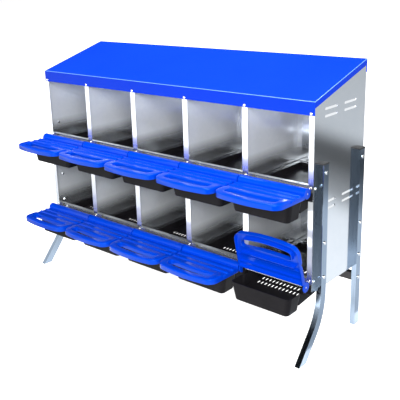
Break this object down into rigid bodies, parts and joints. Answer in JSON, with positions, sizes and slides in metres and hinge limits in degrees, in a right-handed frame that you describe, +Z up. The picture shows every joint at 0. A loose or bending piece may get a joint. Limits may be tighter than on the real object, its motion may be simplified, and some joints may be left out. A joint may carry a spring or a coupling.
{
  "type": "chicken nesting box",
  "caption": "Free-standing two-row nesting box for hens: galvanised sheet cabinet under a sloping blue roof, with pull-out black nest pans, hinged blue egg lids and tube legs.",
  "frame": {"origin": "middle of the box that bounds the object, on the floor", "axes": "X along the rows of nests, Y from the front lids to the back panel, Z up"},
  "size_m": [1.498, 0.5674, 1.0423],
  "materials": {
    "blue_paint": "gloss",
    "galvanised": "satin",
    "blue_plastic": "gloss",
    "black_plastic": "matte",
    "leg_steel": "satin",
    "black_paint": "satin",
    "fasteners": "bright"
  },
  "bodies": {
    "cabinet": {"roof_cover": "blue_paint", "side_panel_left": "galvanised", "side_panel_right": "galvanised", "divider_1": "galvanised", "divider_2": "galvanised", "divider_3": "galvanised", "divider_4": "galvanised", "back_panel": "galvanised", "front_rail_upper": "galvanised", "front_rail_lower": "galvanised", "pan_runners_upper": "galvanised", "pan_runners_lower": "galvanised", "leg_front_left": "leg_steel", "leg_front_right": "leg_steel", "leg_rear_left": "leg_steel", "leg_rear_right": "leg_steel", "leg_caps": "black_plastic", "rear_cross_rail": "black_paint", "roof_screws": "fasteners", "rail_screws_upper": "fasteners", "rail_screws_lower": "fasteners", "rail_end_screws": "fasteners", "back_screws": "fasteners", "leg_bolts": "fasteners", "leg_nuts": "fasteners", "cross_rail_bolts": "fasteners"},
    "pan_lower_1": {"nest_pan_lower_1": "black_plastic", "hinge_rod_lower_1": "fasteners"},
    "lid_lower_1": {"egg_lid_lower_1": "blue_plastic"},
    "pan_lower_2": {"nest_pan_lower_2": "black_plastic", "hinge_rod_lower_2": "fasteners"},
    "lid_lower_2": {"egg_lid_lower_2": "blue_plastic"},
    "pan_lower_3": {"nest_pan_lower_3": "black_plastic", "hinge_rod_lower_3": "fasteners"},
    "lid_lower_3": {"egg_lid_lower_3": "blue_plastic"},
    "pan_lower_4": {"nest_pan_lower_4": "black_plastic", "hinge_rod_lower_4": "fasteners"},
    "lid_lower_4": {"egg_lid_lower_4": "blue_plastic"},
    "pan_lower_5": {"nest_pan_lower_5": "black_plastic", "hinge_rod_lower_5": "fasteners"},
    "lid_lower_5": {"egg_lid_lower_5": "blue_plastic"},
    "pan_upper_1": {"nest_pan_upper_1": "black_plastic", "hinge_rod_upper_1": "fasteners"},
    "lid_upper_1": {"egg_lid_upper_1": "blue_plastic"},
    "pan_upper_2": {"nest_pan_upper_2": "black_plastic", "hinge_rod_upper_2": "fasteners"},
    "lid_upper_2": {"egg_lid_upper_2": "blue_plastic"},
    "pan_upper_3": {"nest_pan_upper_3": "black_plastic", "hinge_rod_upper_3": "fasteners"},
    "lid_upper_3": {"egg_lid_upper_3": "blue_plastic"},
    "pan_upper_4": {"nest_pan_upper_4": "black_plastic", "hinge_rod_upper_4": "fasteners"},
    "lid_upper_4": {"egg_lid_upper_4": "blue_plastic"},
    "pan_upper_5": {"nest_pan_upper_5": "black_plastic", "hinge_rod_upper_5": "fasteners"},
    "lid_upper_5": {"egg_lid_upper_5": "blue_plastic"}
  },
  "joints": [
    {"name": "pan_slide_lower_1", "type": "slide", "parent": "cabinet", "child": "pan_lower_1", "axis": [0, -1, 0], "range_m": [0, 0.33]},
    {"name": "lid_hinge_lower_1", "type": "hinge", "parent": "pan_lower_1", "child": "lid_lower_1", "pos_m": [-0.58, -0.09975, 0.279], "axis": [-1, 0, 0], "range_deg": [0, 95]},
    {"name": "pan_slide_lower_2", "type": "slide", "parent": "cabinet", "child": "pan_lower_2", "axis": [0, -1, 0], "range_m": [0, 0.33]},
    {"name": "lid_hinge_lower_2", "type": "hinge", "parent": "pan_lower_2", "child": "lid_lower_2", "pos_m": [-0.29, -0.09975, 0.279], "axis": [-1, 0, 0], "range_deg": [0, 95]},
    {"name": "pan_slide_lower_3", "type": "slide", "parent": "cabinet", "child": "pan_lower_3", "axis": [0, -1, 0], "range_m": [0, 0.33]},
    {"name": "lid_hinge_lower_3", "type": "hinge", "parent": "pan_lower_3", "child": "lid_lower_3", "pos_m": [0, -0.09975, 0.279], "axis": [-1, 0, 0], "range_deg": [0, 95]},
    {"name": "pan_slide_lower_4", "type": "slide", "parent": "cabinet", "child": "pan_lower_4", "axis": [0, -1, 0], "range_m": [0, 0.33]},
    {"name": "lid_hinge_lower_4", "type": "hinge", "parent": "pan_lower_4", "child": "lid_lower_4", "pos_m": [0.29, -0.09975, 0.279], "axis": [-1, 0, 0], "range_deg": [0, 95]},
    {"name": "pan_slide_lower_5", "type": "slide", "parent": "cabinet", "child": "pan_lower_5", "axis": [0, -1, 0], "range_m": [0, 0.33]},
    {"name": "lid_hinge_lower_5", "type": "hinge", "parent": "pan_lower_5", "child": "lid_lower_5", "pos_m": [0.58, -0.09975, 0.279], "axis": [-1, 0, 0], "range_deg": [-76, 19]},
    {"name": "pan_slide_upper_1", "type": "slide", "parent": "cabinet", "child": "pan_upper_1", "axis": [0, -1, 0], "range_m": [0, 0.33]},
    {"name": "lid_hinge_upper_1", "type": "hinge", "parent": "pan_upper_1", "child": "lid_upper_1", "pos_m": [-0.58, -0.09975, 0.627], "axis": [-1, 0, 0], "range_deg": [0, 95]},
    {"name": "pan_slide_upper_2", "type": "slide", "parent": "cabinet", "child": "pan_upper_2", "axis": [0, -1, 0], "range_m": [0, 0.33]},
    {"name": "lid_hinge_upper_2", "type": "hinge", "parent": "pan_upper_2", "child": "lid_upper_2", "pos_m": [-0.29, -0.09975, 0.627], "axis": [-1, 0, 0], "range_deg": [0, 95]},
    {"name": "pan_slide_upper_3", "type": "slide", "parent": "cabinet", "child": "pan_upper_3", "axis": [0, -1, 0], "range_m": [0, 0.33]},
    {"name": "lid_hinge_upper_3", "type": "hinge", "parent": "pan_upper_3", "child": "lid_upper_3", "pos_m": [0, -0.09975, 0.627], "axis": [-1, 0, 0], "range_deg": [0, 95]},
    {"name": "pan_slide_upper_4", "type": "slide", "parent": "cabinet", "child": "pan_upper_4", "axis": [0, -1, 0], "range_m": [0, 0.33]},
    {"name": "lid_hinge_upper_4", "type": "hinge", "parent": "pan_upper_4", "child": "lid_upper_4", "pos_m": [0.29, -0.09975, 0.627], "axis": [-1, 0, 0], "range_deg": [0, 95]},
    {"name": "pan_slide_upper_5", "type": "slide", "parent": "cabinet", "child": "pan_upper_5", "axis": [0, -1, 0], "range_m": [0, 0.33]},
    {"name": "lid_hinge_upper_5", "type": "hinge", "parent": "pan_upper_5", "child": "lid_upper_5", "pos_m": [0.58, -0.09975, 0.627], "axis": [-1, 0, 0], "range_deg": [0, 95]}
  ]
}
